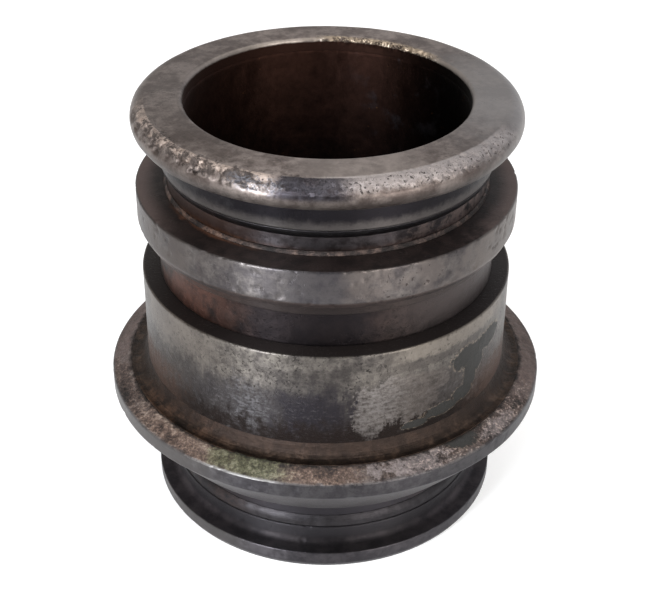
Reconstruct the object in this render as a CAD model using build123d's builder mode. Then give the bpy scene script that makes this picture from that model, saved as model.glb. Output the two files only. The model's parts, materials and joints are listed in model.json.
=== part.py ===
from build123d import *
import os

# A rigid pipe coupling: turned rings slipped over a length of 3 inch pipe and welded to it.
# Millimetres. +Z is up the pipe, and the origin is the centre of the bottom face.
# Every ring is a profile drawn in the XZ plane, radius along X and height along Z,
# and revolved about Z. Nothing moves.

# ---------------------------------------------------------------- driving dimensions

# the pipe: 3 inch, schedule 40
pipe_outer_diameter = 88.9
pipe_wall = 5.5

# heights, from the bottom face up
bottom_flange_thickness = 5.4
lower_neck_length = 16.8
cone_height = 13.7
flange_rim_height = 4.4
flange_rim_to_barrel_top = 33.6
lower_groove_width = 14.3
land_width = 11.45
upper_groove_width = 15.85
lip_thickness = 8.8

# how far each ring stands out from the pipe's outer wall
bottom_flange_wall = 6.85
hub_wall = 1.75
cone_foot_wall = 6.95
barrel_wall = 8.25
spacer_wall = 3.15
collar_wall = 4.95
land_wall = 8.65
lip_wall = 8.95
lip_skirt_wall = 1.55

# the flange ring's top: a recess round the barrel, then a crown that slopes down to the rim
recess_width = 4.45
crown_width = 6.35
crown_rise = 2.8
recess_floor_rise = 0.5
barrel_seat_depth = 5.0

# smaller steps
hub_height = 5.2
collar_width = 3.7
lip_skirt_length = 8.3
lip_shoulder_thickness = 3.8
lip_seat_width = 4.0
lip_fall = 0.5
root_setback = 2.5

# clearances
slip_fit = 0.1
seat_fit = 0.1

# edges
bottom_flange_lower_chamfer = (1.1, 1.6)
land_lower_chamfer = (1.2, 2.3)
edge_round = 0.5
fine_edge_round = 0.3
hub_fillet = 1.6
recess_corner_fillet = 0.6
bore_mouth_round = 1.2
skirt_fillet = 1.0

# weld beads: reach out from the pipe, and rise along it; the root weld is held in by its inset
lip_weld_reach = 1.55
lip_weld_rise = 1.9
land_weld_reach = 0.9
land_weld_rise = 1.2
barrel_weld_reach = 2.3
barrel_weld_rise = 4.0
barrel_weld_prep = 1.4
cone_weld_reach = 2.6
cone_weld_rise = 2.4
hub_weld_reach = 1.4
hub_weld_rise = 1.6
root_weld_reach = 3.4
root_weld_inset = 0.6

# how far a bead's face swells past the straight line between its toes
bead_crown = 0.18

# ---------------------------------------------------------------- derived sizes

pipe_radius = pipe_outer_diameter / 2
bore_radius = pipe_radius - pipe_wall
ring_bore_radius = pipe_radius + slip_fit

bottom_flange_radius = pipe_radius + bottom_flange_wall
hub_radius = pipe_radius + hub_wall
cone_foot_radius = pipe_radius + cone_foot_wall
barrel_radius = pipe_radius + barrel_wall
spacer_radius = pipe_radius + spacer_wall
collar_radius = pipe_radius + collar_wall
land_radius = pipe_radius + land_wall
lip_radius = pipe_radius + lip_wall
lip_skirt_radius = pipe_radius + lip_skirt_wall
recess_radius = barrel_radius + recess_width
flange_radius = recess_radius + crown_width

bottom_flange_top = bottom_flange_thickness
hub_top = bottom_flange_top + hub_height
cone_foot = bottom_flange_top + lower_neck_length
rim_bottom = cone_foot + cone_height
rim_top = rim_bottom + flange_rim_height
crown_top = rim_top + crown_rise
recess_floor = rim_top + recess_floor_rise
barrel_seat = recess_floor - barrel_seat_depth
barrel_top = rim_top + flange_rim_to_barrel_top
land_bottom = barrel_top + lower_groove_width
collar_bottom = land_bottom - collar_width
land_top = land_bottom + land_width
lip_bottom = land_top + upper_groove_width
lip_top = lip_bottom + lip_thickness
lip_skirt_bottom = lip_bottom - lip_skirt_length
pipe_bottom = root_setback
pipe_top = lip_top - lip_shoulder_thickness
root_weld_rise = root_setback - root_weld_inset


def corner_near(section, radius, height):
    """The corner of a section that lies nearest to a radius and a height."""
    return section.vertices().sort_by_distance((radius, height))[0]


def bead(corner_radius, corner_height, reach, rise):
    """A fillet weld: a triangle in the corner between an upright wall and a level face,
    with a slightly swollen face. A negative reach or rise turns it the other way."""
    toe_out = (corner_radius + reach, corner_height)
    toe_up = (corner_radius, corner_height + rise)
    middle = (
        corner_radius + reach * (0.5 + bead_crown),
        corner_height + rise * (0.5 + bead_crown),
    )
    with BuildPart() as welded:
        with BuildSketch(Plane.XZ):
            with BuildLine():
                Polyline(toe_up, (corner_radius, corner_height), toe_out)
                ThreePointArc(toe_out, middle, toe_up)
            make_face()
        revolve(axis=Axis.Z)
    return welded.part


# ---------------------------------------------------------------- the pipe and the lip

with BuildPart() as bore_pipe:
    with BuildSketch(Plane.XZ):
        with Locations((bore_radius, pipe_bottom)):
            Rectangle(pipe_wall, pipe_top - pipe_bottom, align=(Align.MIN, Align.MIN))
    revolve(axis=Axis.Z)

# The lip ring is socketed: its shoulder sits on the pipe's top end. A flat seat runs round
# the bore, the top falls a little from there outwards, and the edge is a half round.
lip_nose = (lip_thickness - lip_fall) / 2
with BuildPart() as lip_ring:
    with BuildSketch(Plane.XZ) as lip_section:
        with BuildLine():
            Polyline(
                (lip_radius - lip_nose, lip_top - lip_fall),
                (bore_radius + lip_seat_width, lip_top),
                (bore_radius, lip_top),
                (bore_radius, pipe_top),
                (ring_bore_radius, pipe_top),
                (ring_bore_radius, lip_skirt_bottom),
                (lip_skirt_radius, lip_skirt_bottom),
                (lip_skirt_radius, lip_bottom),
                (lip_radius - lip_nose, lip_bottom),
            )
            ThreePointArc(
                (lip_radius - lip_nose, lip_bottom),
                (lip_radius, lip_bottom + lip_nose),
                (lip_radius - lip_nose, lip_top - lip_fall),
            )
        make_face()
        fillet(corner_near(lip_section, bore_radius, lip_top), radius=bore_mouth_round)
        fillet(corner_near(lip_section, lip_skirt_radius, lip_bottom), radius=skirt_fillet)
    revolve(axis=Axis.Z)

lip_weld = bead(pipe_radius, lip_skirt_bottom, lip_weld_reach, -lip_weld_rise)

# ---------------------------------------------------------------- the land and the lower groove

with BuildPart() as land_ring:
    chamfer_out, chamfer_up = land_lower_chamfer
    with BuildSketch(Plane.XZ) as land_section:
        with BuildLine():
            Polyline(
                (ring_bore_radius, land_bottom),
                (land_radius - chamfer_out, land_bottom),
                (land_radius, land_bottom + chamfer_up),
                (land_radius, land_top),
                (ring_bore_radius, land_top),
                close=True,
            )
        make_face()
        fillet(corner_near(land_section, land_radius, land_top), radius=edge_round)
    revolve(axis=Axis.Z)

land_weld = bead(pipe_radius, land_top, land_weld_reach, land_weld_rise)

with BuildPart() as land_collar:
    with BuildSketch(Plane.XZ) as collar_section:
        with Locations((ring_bore_radius, collar_bottom)):
            Rectangle(collar_radius - ring_bore_radius, collar_width, align=(Align.MIN, Align.MIN))
        chamfer(corner_near(collar_section, collar_radius, collar_bottom), length=edge_round)
    revolve(axis=Axis.Z)

with BuildPart() as groove_spacer:
    with BuildSketch(Plane.XZ):
        with Locations((ring_bore_radius, barrel_top)):
            Rectangle(
                spacer_radius - ring_bore_radius,
                collar_bottom - barrel_top,
                align=(Align.MIN, Align.MIN),
            )
    revolve(axis=Axis.Z)

# ---------------------------------------------------------------- the barrel and the wide flange

# The barrel's foot stands in a counterbore of the flange ring, and a chamfer above the
# recess floor takes the weld, so the bead's upper toe is flush with the barrel.
barrel_weld_top = recess_floor + barrel_weld_rise
with BuildPart() as barrel_sleeve:
    with BuildSketch(Plane.XZ) as barrel_section:
        with BuildLine():
            Polyline(
                (ring_bore_radius, barrel_seat),
                (barrel_radius - barrel_weld_prep, barrel_seat),
                (barrel_radius - barrel_weld_prep, recess_floor),
                (barrel_radius, barrel_weld_top),
                (barrel_radius, barrel_top),
                (ring_bore_radius, barrel_top),
                close=True,
            )
        make_face()
        fillet(corner_near(barrel_section, barrel_radius, barrel_top), radius=edge_round)
    revolve(axis=Axis.Z)

counterbore_radius = barrel_radius - barrel_weld_prep + seat_fit
with BuildPart() as flange_ring:
    with BuildSketch(Plane.XZ) as flange_section:
        with BuildLine():
            Polyline(
                (ring_bore_radius, cone_foot),
                (cone_foot_radius, cone_foot),
                (flange_radius, rim_bottom),
                (flange_radius, rim_top),
                (recess_radius, crown_top),
                (recess_radius, recess_floor),
                (counterbore_radius, recess_floor),
                (counterbore_radius, barrel_seat),
                (ring_bore_radius, barrel_seat),
                close=True,
            )
        make_face()
        fillet(corner_near(flange_section, flange_radius, rim_top), radius=edge_round)
        fillet(corner_near(flange_section, flange_radius, rim_bottom), radius=edge_round)
        fillet(corner_near(flange_section, recess_radius, crown_top), radius=fine_edge_round)
        fillet(corner_near(flange_section, recess_radius, recess_floor), radius=recess_corner_fillet)
        fillet(corner_near(flange_section, cone_foot_radius, cone_foot), radius=edge_round)
    revolve(axis=Axis.Z)

# The bead round the barrel's foot fills the chamfer: from the counterbore's edge out over the
# recess floor, and up to the barrel's full radius.
with BuildPart() as barrel_weld:
    weld_toe = (barrel_radius + barrel_weld_reach, recess_floor)
    weld_head = (barrel_radius, barrel_weld_top)
    weld_middle = (
        barrel_radius + barrel_weld_reach * (0.5 + bead_crown),
        recess_floor + barrel_weld_rise * (0.5 + bead_crown),
    )
    with BuildSketch(Plane.XZ):
        with BuildLine():
            Polyline(weld_head, (barrel_radius - barrel_weld_prep, recess_floor), weld_toe)
            ThreePointArc(weld_toe, weld_middle, weld_head)
        make_face()
    revolve(axis=Axis.Z)

cone_weld = bead(pipe_radius, cone_foot, cone_weld_reach, -cone_weld_rise)

# ---------------------------------------------------------------- the bottom flange

with BuildPart() as bottom_flange:
    chamfer_out, chamfer_up = bottom_flange_lower_chamfer
    with BuildSketch(Plane.XZ) as bottom_section:
        with BuildLine():
            Polyline(
                (ring_bore_radius, 0),
                (bottom_flange_radius - chamfer_out, 0),
                (bottom_flange_radius, chamfer_up),
                (bottom_flange_radius, bottom_flange_top),
                (hub_radius, bottom_flange_top),
                (hub_radius, hub_top),
                (ring_bore_radius, hub_top),
                close=True,
            )
        make_face()
        fillet(corner_near(bottom_section, bottom_flange_radius, bottom_flange_top), radius=fine_edge_round)
        fillet(corner_near(bottom_section, bottom_flange_radius, chamfer_up), radius=edge_round)
        fillet(corner_near(bottom_section, hub_radius, bottom_flange_top), radius=hub_fillet)
    revolve(axis=Axis.Z)

hub_weld = bead(pipe_radius, hub_top, hub_weld_reach, hub_weld_rise)

# The root weld fills the step inside the bottom flange, where the pipe stops short of its face.
root_weld = bead(ring_bore_radius, pipe_bottom, -root_weld_reach, -root_weld_rise)

# ---------------------------------------------------------------- labels and files

parts = {
    "bore_pipe": bore_pipe.part,
    "lip_ring": lip_ring.part,
    "lip_weld": lip_weld,
    "land_ring": land_ring.part,
    "land_weld": land_weld,
    "land_collar": land_collar.part,
    "groove_spacer": groove_spacer.part,
    "barrel_sleeve": barrel_sleeve.part,
    "flange_ring": flange_ring.part,
    "barrel_weld": barrel_weld.part,
    "cone_weld": cone_weld,
    "bottom_flange": bottom_flange.part,
    "hub_weld": hub_weld,
    "root_weld": root_weld,
}

os.makedirs("parts", exist_ok=True)
for name, solid in parts.items():
    solid.label = name
    export_step(solid, f"parts/{name}.step")
    print(f"{name}: {solid.volume:.0f} mm3")
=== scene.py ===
# %% [markdown]
# # A worn steel pipe coupling
# The coupling is a stack of turned rings on a length of 3 inch pipe, held by weld beads. Every
# ring is round about Z, so each one is made the way a lathe makes it: a section is drawn once
# and turned about the axis. What makes the real thing interesting comes afterwards: a hammered
# lip, a rusty collar with a little moss, a barrel with a flaking coat. That wear is made twice,
# as real dents in the mesh and as colour and grain in the finish.

# %% Load the frame
import json
import math

import bmesh
import bpy
import numpy as np
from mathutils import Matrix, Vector, noise


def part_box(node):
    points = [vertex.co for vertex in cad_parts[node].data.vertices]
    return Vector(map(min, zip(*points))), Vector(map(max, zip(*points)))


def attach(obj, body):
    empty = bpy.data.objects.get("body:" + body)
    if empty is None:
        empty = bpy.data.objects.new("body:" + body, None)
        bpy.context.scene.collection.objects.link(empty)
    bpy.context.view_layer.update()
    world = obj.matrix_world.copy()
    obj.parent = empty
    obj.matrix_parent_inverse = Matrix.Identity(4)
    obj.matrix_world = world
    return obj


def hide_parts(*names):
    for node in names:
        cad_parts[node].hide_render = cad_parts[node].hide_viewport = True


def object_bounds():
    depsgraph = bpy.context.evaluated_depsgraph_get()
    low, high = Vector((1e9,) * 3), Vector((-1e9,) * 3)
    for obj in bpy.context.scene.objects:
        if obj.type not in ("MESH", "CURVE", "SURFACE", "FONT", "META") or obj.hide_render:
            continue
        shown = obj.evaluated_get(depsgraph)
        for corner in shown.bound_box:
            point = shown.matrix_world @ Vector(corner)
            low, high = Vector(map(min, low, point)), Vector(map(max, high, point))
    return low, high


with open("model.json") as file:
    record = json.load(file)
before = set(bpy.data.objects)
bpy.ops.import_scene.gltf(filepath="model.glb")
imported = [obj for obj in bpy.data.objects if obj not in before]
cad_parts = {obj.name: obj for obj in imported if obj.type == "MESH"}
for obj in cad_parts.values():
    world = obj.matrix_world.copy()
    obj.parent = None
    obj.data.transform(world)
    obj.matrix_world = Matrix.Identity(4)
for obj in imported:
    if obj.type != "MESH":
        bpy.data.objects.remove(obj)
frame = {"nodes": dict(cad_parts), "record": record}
cad_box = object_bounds()
print("nodes in the frame:", sorted(frame["nodes"]))

# %% [markdown]
# ## Sizes
# The frame is in metres, but a fitter thinks in millimetres, so the sizes here are millimetres
# and only the mesh maker converts them. Radii and heights are read from the frame's own boxes.
# A few small steps that a box can't show, such as the lip's thickness, are named here.

# %% Read the sizes
MM = 0.001


def rim_of(node):
    """The outer radius of a ring, in millimetres."""
    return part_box(node)[1].x / MM


def top_of(node):
    """The highest point of a ring, in millimetres."""
    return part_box(node)[1].z / MM


def foot_of(node):
    """The lowest point of a ring, in millimetres."""
    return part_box(node)[0].z / MM


bore = next(m["dims"]["r_mm"] for m in frame["record"]["mounts"] if m["name"] == "bore")
pipe = rim_of("bore_pipe")
slip = 0.1
socket = pipe + slip

lip_thickness = 8.8
lip_underside = top_of("lip_ring") - lip_thickness
lip_seat = 4.0
lip_fall = 0.5
skirt = pipe + 1.55
land_chamfer_out = 1.2
land_chamfer_up = 2.3
weld_prep = 1.4
weld_rise = 4.0
recess_floor = top_of("barrel_weld") - weld_rise
crown_rise = 2.8
crown_width = 6.35
rim_height = 4.4
flange_rim = rim_of("flange_ring")
crown_edge = flange_rim - crown_width
rim_top = recess_floor - 0.5
rim_bottom = rim_top - rim_height
cone_foot_radius = pipe + 6.95
hub = pipe + 1.75
bottom_plate = 5.4
print(f"bore {bore:.2f}, pipe {pipe:.2f}, flange {flange_rim:.2f}, lip top {top_of('lip_ring'):.2f} mm")

# %% [markdown]
# ## Turning a ring
# A ring could be a torus or a cylinder primitive with cuts, but a section that is spun about the
# axis is both simpler and truer, since it is how the real ring was cut. The section starts as
# one flat face. Bevelling a corner of the face rounds it. The edges that show are then divided,
# so that the dents that come later have points to move, the face is dropped, and its outline
# is spun.

# %% A lathe for sections
SIDES = 640
SPACING = 0.55


def turn(name, corners, rounds=None, spacing=SPACING, sides=SIDES):
    """Spin a section, given as (radius, height) corners in millimetres, into a closed ring."""
    shape = bmesh.new()
    points = [shape.verts.new((radius * MM, 0, height * MM)) for radius, height in corners]
    shape.faces.new(points)
    for index, size in (rounds or {}).items():
        bmesh.ops.bevel(
            shape,
            geom=[points[index]],
            offset=size * MM,
            offset_type="OFFSET",
            segments=max(3, round(size * 1.6 / spacing)),
            profile=0.5,
            affect="VERTICES",
            material=-1,
            clamp_overlap=True,
        )
    for edge in list(shape.edges):
        hidden = all(abs(point.co.x / MM - socket) < 0.01 for point in edge.verts)
        cuts = 0 if hidden else int(edge.calc_length() / (spacing * MM))
        if cuts:
            bmesh.ops.subdivide_edges(shape, edges=[edge], cuts=cuts)
    bmesh.ops.delete(shape, geom=shape.faces[:], context="FACES_ONLY")
    bmesh.ops.remove_doubles(shape, verts=shape.verts[:], dist=0.02 * MM)
    bmesh.ops.spin(
        shape,
        geom=shape.verts[:] + shape.edges[:],
        cent=(0, 0, 0),
        axis=(0, 0, 1),
        angle=math.tau,
        steps=sides,
        use_merge=True,
    )
    bmesh.ops.recalc_face_normals(shape, faces=shape.faces[:])
    for face in shape.faces:
        face.smooth = True
    mesh = bpy.data.meshes.new(name)
    shape.to_mesh(mesh)
    shape.free()
    ring = bpy.data.objects.new(name, mesh)
    bpy.context.scene.collection.objects.link(ring)
    return ring


def plain_ring(name, inner, outer, foot, top, **options):
    """A ring with a square section."""
    return turn(name, [(inner, foot), (outer, foot), (outer, top), (inner, top)], **options)


def bead(name, corner, reach, rise, swell=0.18):
    """A weld bead in the corner between an upright wall and a level face."""
    radius, height = corner
    middle = (radius + reach * (0.5 + swell), height + rise * (0.5 + swell))
    corners = [corner, (radius + reach, height), middle, (radius, height + rise)]
    size = 0.3 * math.hypot(reach, rise)
    return turn(name, corners, {2: size}, spacing=0.35)


# %% [markdown]
# ## Wear in listed places and by noise
# Wear has two helpers. `dent` moves every point of a ring along its normal by a depth that a
# small function works out from the point's place. `mark` stores a number on every point, under
# a name that a finish can read, so that colour and relief agree about where a patch is.
# Places on a ring are given as a fitter would chalk them: an angle round the ring, with 0 at
# the front and positive to the right, and a level, which is a height on a wall or a radius
# on a face. All the points are worked out at once, as arrays, because a ring has many.

# %% Helpers for places, dents and marks
class Places:
    """Where the points of a ring are: angle in degrees, radius and height in millimetres."""

    def __init__(self, ring):
        flat = np.empty(len(ring.data.vertices) * 3)
        ring.data.vertices.foreach_get("co", flat)
        self.co = flat.reshape(-1, 3) / MM
        self.angle = np.degrees(np.arctan2(self.co[:, 0], -self.co[:, 1]))
        self.radius = np.hypot(self.co[:, 0], self.co[:, 1])
        self.height = self.co[:, 2]


def apart(angle, middle):
    """The signed difference of two angles, from -180 to 180 degrees."""
    return (angle - middle + 180) % 360 - 180


def fade(value, low, high):
    """0 below low, 1 above high, smooth between."""
    share = np.clip((value - low) / (high - low), 0, 1)
    return share * share * (3 - 2 * share)


def sector(at, start, end, soft=6):
    """1 between two angles, fading out over soft degrees at each end."""
    half = (end - start) / 2
    return 1 - fade(np.abs(apart(at.angle, start + half)), half - soft, half + soft)


def spots(at, level, ovals):
    """The highest of several ovals: each is 1 in its middle, 0 on its edge, below 0 outside."""
    field = np.full(len(level), -9.0)
    for middle, centre, wide, tall in ovals:
        across = np.radians(apart(at.angle, middle)) * at.radius
        field = np.maximum(field, 1 - (across / wide) ** 2 - ((level - centre) / tall) ** 2)
    return field


def grain(at, size, octaves=3, seed=0, only=None):
    """Fractal noise of about -1 to 1 whose lumps are size millimetres wide, where only is above 0."""
    values = np.zeros(len(at.co))
    chosen = np.arange(len(at.co)) if only is None else np.nonzero(only > 0)[0]
    shifted = at.co[chosen] / size + (seed * 17.3, seed * 5.1, seed)
    values[chosen] = [noise.fractal(spot, 0.7, 2.1, octaves) for spot in shifted.tolist()]
    return values


def dent(ring, depth):
    """Move each point along its normal by depth(places), in millimetres, but never above or below the
    frame.
    """
    at = Places(ring)
    normals = np.empty(len(at.co) * 3)
    ring.data.vertex_normals.foreach_get("vector", normals)
    moved = at.co + normals.reshape(-1, 3) * depth(at)[:, None]
    moved[:, 2] = np.clip(moved[:, 2], cad_box[0].z / MM, cad_box[1].z / MM)
    ring.data.vertices.foreach_set("co", (moved * MM).ravel())
    ring.data.update()


def mark(ring, name, amount):
    """Store a number on each point, for a finish to read."""
    layer = ring.data.attributes.new(name, "FLOAT", "POINT")
    layer.data.foreach_set("value", np.asarray(amount, dtype=np.float32))


# %% [markdown]
# ## Shader sums
# A finish is a sum of many small effects. Wiring Math nodes by hand hides the sum, so a small
# class wraps a socket and lets Python's own signs add the nodes. Everything else, such as a
# noise or a colour mix, goes through one method, `add`.

# %% Sockets that can be added and multiplied
class Value:
    """A shader socket that takes part in sums, such as 1 - rust * 0.5."""

    def __init__(self, graph, socket):
        self.graph = graph
        self.socket = socket

    def joined(self, operation, first, second):
        return self.graph.add("ShaderNodeMath", {"operation": operation}, {0: first, 1: second})

    def __add__(self, other):
        return self.joined("ADD", self, other)

    def __sub__(self, other):
        return self.joined("SUBTRACT", self, other)

    def __rsub__(self, other):
        return self.joined("SUBTRACT", other, self)

    def __mul__(self, other):
        return self.joined("MULTIPLY", self, other)

    def __truediv__(self, other):
        return self.joined("DIVIDE", self, other)

    def __pow__(self, other):
        return self.joined("POWER", self, other)

    __radd__ = __add__
    __rmul__ = __mul__


class Graph:
    """A node tree that is built by calls."""

    def __init__(self, tree):
        self.tree = tree

    def add(self, kind, settings=None, sockets=None, output=0, stops=None):
        """Add a node: its settings first, then its stops, then the values or links of its sockets."""
        node = self.tree.nodes.new(kind)
        for key, value in (settings or {}).items():
            setattr(node, key, value)
        if stops:
            ramp = node.color_ramp.elements
            while len(ramp) < len(stops):
                ramp.new(0.5)
            for element, (position, colour) in zip(ramp, stops):
                element.position = position
                element.color = colour
        for key, value in (sockets or {}).items():
            self.feed(node.inputs[key], value)
        return Value(self, node.outputs[output])

    def feed(self, socket, value):
        """Link a socket to a Value, or set it to a plain number, colour or vector."""
        if isinstance(value, Value):
            self.tree.links.new(value.socket, socket)
        else:
            socket.default_value = value

    def step(self, value, low, high):
        """0 below low and 1 above high, smooth between. With low above high it falls instead."""
        sockets = {"Value": value, "From Min": low, "From Max": high}
        return self.add("ShaderNodeMapRange", {"interpolation_type": "SMOOTHSTEP"}, sockets)

    def ramp(self, value, row):
        """Run a number through a row of colours: each is a place from 0 to 1, then its tint."""
        stops = [(place, tint(*colour)) for place, *colour in row]
        return self.add("ShaderNodeValToRGB", sockets={"Fac": value}, output="Color", stops=stops)

    def vector(self, x, y, z):
        """Three numbers as one vector."""
        return self.add("ShaderNodeCombineXYZ", sockets={"X": x, "Y": y, "Z": z})

    def blend(self, base, over, mask, mode="MIX"):
        """Lay one colour over another where the mask is 1."""
        settings = {"data_type": "RGBA", "blend_type": mode}
        return self.add("ShaderNodeMix", settings, {"Factor": mask, 6: base, 7: over}, output=2)


def tint(red, green, blue):
    """A colour as the eye's 0 to 255, turned into the linear numbers that a shader wants."""
    linear = [((c / 255 + 0.055) / 1.055) ** 2.4 if c > 10 else c / 255 / 12.92 for c in (red, green, blue)]
    return (*linear, 1)


class Finish(Graph):
    """A material with one Principled shader, and the nodes that feed it."""

    def __init__(self, name):
        self.material = bpy.data.materials.new(name)
        self.material.use_nodes = True
        super().__init__(self.material.node_tree)
        self.shader = self.tree.nodes["Principled BSDF"]
        here = self.add("ShaderNodeTexCoord", output="Object")
        scale = {"Vector": here, "Scale": 1 / MM}
        self.place = self.add("ShaderNodeVectorMath", {"operation": "SCALE"}, scale)
        self.x, self.y, self.height = (
            self.add("ShaderNodeSeparateXYZ", sockets={0: self.place}, output=axis) for axis in "XYZ"
        )
        self.radius = (self.x * self.x + self.y * self.y) ** 0.5
        around = {0: self.x, 1: self.y * -1}
        self.angle = self.add("ShaderNodeMath", {"operation": "ARCTAN2"}, around) * (180 / math.pi)

    def noise(self, size, detail=4, rough=0.55, seed=0, vector=None):
        """Noise of about 0 to 1, with lumps of size millimetres."""
        shift = (seed * 31.7, seed * 12.9, seed * 7.3)
        moved = {0: vector or self.place, 1: shift}
        sockets = {
            "Vector": self.add("ShaderNodeVectorMath", {"operation": "ADD"}, moved),
            "Scale": 1 / size,
            "Detail": detail,
            "Roughness": rough,
        }
        return self.add("ShaderNodeTexNoise", {"noise_dimensions": "3D"}, sockets)

    def turning(self, size, seed=0, drift=0.02):
        """Fine rings about the axis, like the marks that a lathe leaves."""
        rings = self.vector(self.radius, self.height, self.x * drift)
        return self.noise(size, detail=3, rough=0.6, seed=seed, vector=rings)

    def drips(self, size, stretch=6, seed=0):
        """Noise drawn out downwards, like runs of dirty water on a wall."""
        runs = self.vector(self.x, self.y, self.height * (1 / stretch))
        return self.noise(size, detail=5, rough=0.62, seed=seed, vector=runs)

    def wipes(self, size, stretch=5, seed=0):
        """Noise drawn out sideways, like the scratches that a cloth or a strap leaves."""
        scratches = self.vector(self.x * (1 / stretch), self.y * (1 / stretch), self.height)
        return self.noise(size, detail=6, rough=0.7, seed=seed, vector=scratches)

    def arc(self, start, end, soft=5, shake=0):
        """1 between two angles round the axis. A shake, such as a noise, frays its ends."""
        along = self.angle + shake if shake else self.angle
        return self.step(along, start - soft, start + soft) * self.step(along, end + soft, end - soft)

    def shade(self, colour, amount):
        """Darken or lighten a colour by a number that may vary over the surface."""
        return self.blend(colour, self.vector(amount, amount, amount), 1.0, "MULTIPLY")

    def read(self, name):
        """A number that mark() stored on the points."""
        settings = {"attribute_type": "GEOMETRY", "attribute_name": name}
        return self.add("ShaderNodeAttribute", settings, output="Fac")

    def wear(self, relief, **sockets):
        """Set or link the shader's own sockets, by name, and give it relief in millimetres."""
        bump = {"Height": relief, "Distance": MM, "Strength": 1.0}
        self.feed(self.shader.inputs["Normal"], self.add("ShaderNodeBump", sockets=bump, output="Normal"))
        for key, value in sockets.items():
            self.feed(self.shader.inputs[key.replace("_", " ").title()], value)
        return self.material


# %% [markdown]
# ## The metal everywhere
# All the rings are the same old steel: a grey body that goes lighter and darker in soft clouds,
# with fine circular turning marks and a sprinkle of dark pores. One function makes that ground,
# and each ring then adds what happened to it. Turned steel also stretches its highlights
# across the tool marks, which the shader's Anisotropic socket does. Its rotation of a quarter
# turn puts the stretch across the marks instead of along them.

# %% The common ground of old steel
TURNED = {"anisotropic": 0.75, "anisotropic_rotation": 0.25}


def old_steel(finish, light, dark, cloud=14, seed=0, marks=0.012, pores=0.35, spread=0.5):
    """The colour, roughness and relief of bare old steel. Returns all three."""
    clouds = finish.noise(cloud, detail=7, rough=0.66, seed=seed)
    patchy = finish.noise(2.6, detail=5, rough=0.68, seed=seed + 2)
    fine = finish.noise(0.7, detail=3, rough=0.68, seed=seed + 3)
    rings = finish.turning(0.4, seed=seed)
    colour = finish.blend(dark, light, finish.step(clouds + (patchy - 0.5) * 0.5, 0.36, 0.64))
    even = 1 - spread * 1.2
    colour = finish.shade(colour, fine * spread + patchy * spread * 0.9 + rings * spread * 0.5 + even)
    where = finish.step(finish.noise(8, detail=4, seed=seed + 4), 0.42, 0.58)
    pits = finish.step(finish.noise(0.9, detail=3, rough=0.6, seed=seed + 5), 0.56, 0.66) * where * pores
    colour = finish.shade(colour, 1 - pits)
    roughness = clouds * 0.12 + fine * 0.2 + patchy * 0.1 + 0.2
    relief = rings * marks + fine * 0.03 + patchy * 0.03 - pits * 0.1
    return colour, roughness, relief


# %% [markdown]
# ## The lip
# The lip takes the knocks whenever the coupling is set down or clamped. Its top is smooth and
# warm grey. Its half-round edge is battered on the left of the front, where the metal has been
# pushed over into a ragged pale ledge with dark hollows under it, and worn bright and speckled
# on the right. At the back of the mouth a crumbling burr is left. The dents are real, so the
# outline of the edge is uneven too.

# %% Turn and batter the lip
lip_top = top_of("lip_ring")
lip_rim = rim_of("lip_ring")
lip_nose = (lip_thickness - lip_fall) / 2
nose_middle = lip_underside + lip_nose
nose_start = lip_rim - lip_nose
lip = turn(
    "lip_ring_worn",
    [
        (bore, lip_top),
        (bore + lip_seat, lip_top),
        (lip_rim, lip_top - lip_fall),
        (lip_rim, lip_underside),
        (skirt, lip_underside),
        (skirt, foot_of("lip_ring")),
        (socket, foot_of("lip_ring")),
        (socket, top_of("bore_pipe")),
        (bore, top_of("bore_pipe")),
    ],
    {0: 1.2, 2: lip_nose * 0.99, 3: lip_nose * 0.99, 4: 1.0},
    spacing=0.42,
)
at = Places(lip)
# degrees round the nose of the lip: 90 on top, 0 at the widest point, -90 below
nose_turn = np.degrees(np.arctan2(at.height - nose_middle, at.radius - nose_start))
on_nose = fade(at.radius, nose_start - 2.0, nose_start - 0.5)
hit_area = on_nose * sector(at, -76, -4, 10) * fade(nose_turn, 8, 30) * (1 - fade(nose_turn, 85, 112))
worn_area = on_nose * sector(at, 0, 64, 12) * fade(nose_turn, 5, 35) * (1 - fade(nose_turn, 86, 108))
near_mouth = fade(at.height, lip_top - 2.4, lip_top - 0.6) * (1 - fade(at.radius, bore + 1.5, bore + 2.7))
burr_area = near_mouth * sector(at, 130, 183, 7)


def lip_depth(at):
    """Broad unevenness all round, deep ragged hollows where the edge was hammered."""
    move = grain(at, 15, 2, seed=1) * 0.1 - 0.1
    hollows = fade(grain(at, 3.0, 4, seed=2, only=hit_area), -0.05, 0.3)
    move -= hit_area * (0.12 + 0.8 * hollows * fade(nose_turn, 80, 60))
    ledge = on_nose * fade(spots(at, nose_turn, [(-50, 74, 24, 22)]), 0, 0.8)
    move += 0.35 * ledge * fade(grain(at, 4, 2, seed=4, only=ledge), -0.2, 0.2)
    pocks = fade(grain(at, 1.3, 3, seed=5, only=worn_area), 0.12, 0.35)
    move -= worn_area * (0.08 + 0.3 * pocks)
    move += burr_area * (0.55 * grain(at, 1.4, 3, seed=6, only=burr_area) - 0.1)
    return move


dent(lip, lip_depth)
mark(lip, "hit", hit_area)
mark(lip, "worn", worn_area)
mark(lip, "burr", burr_area)
mark(lip, "edge", np.where(at.radius > nose_start, nose_turn / 90, np.sign(nose_turn)))
print("lip:", len(lip.data.polygons), "faces")

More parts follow.
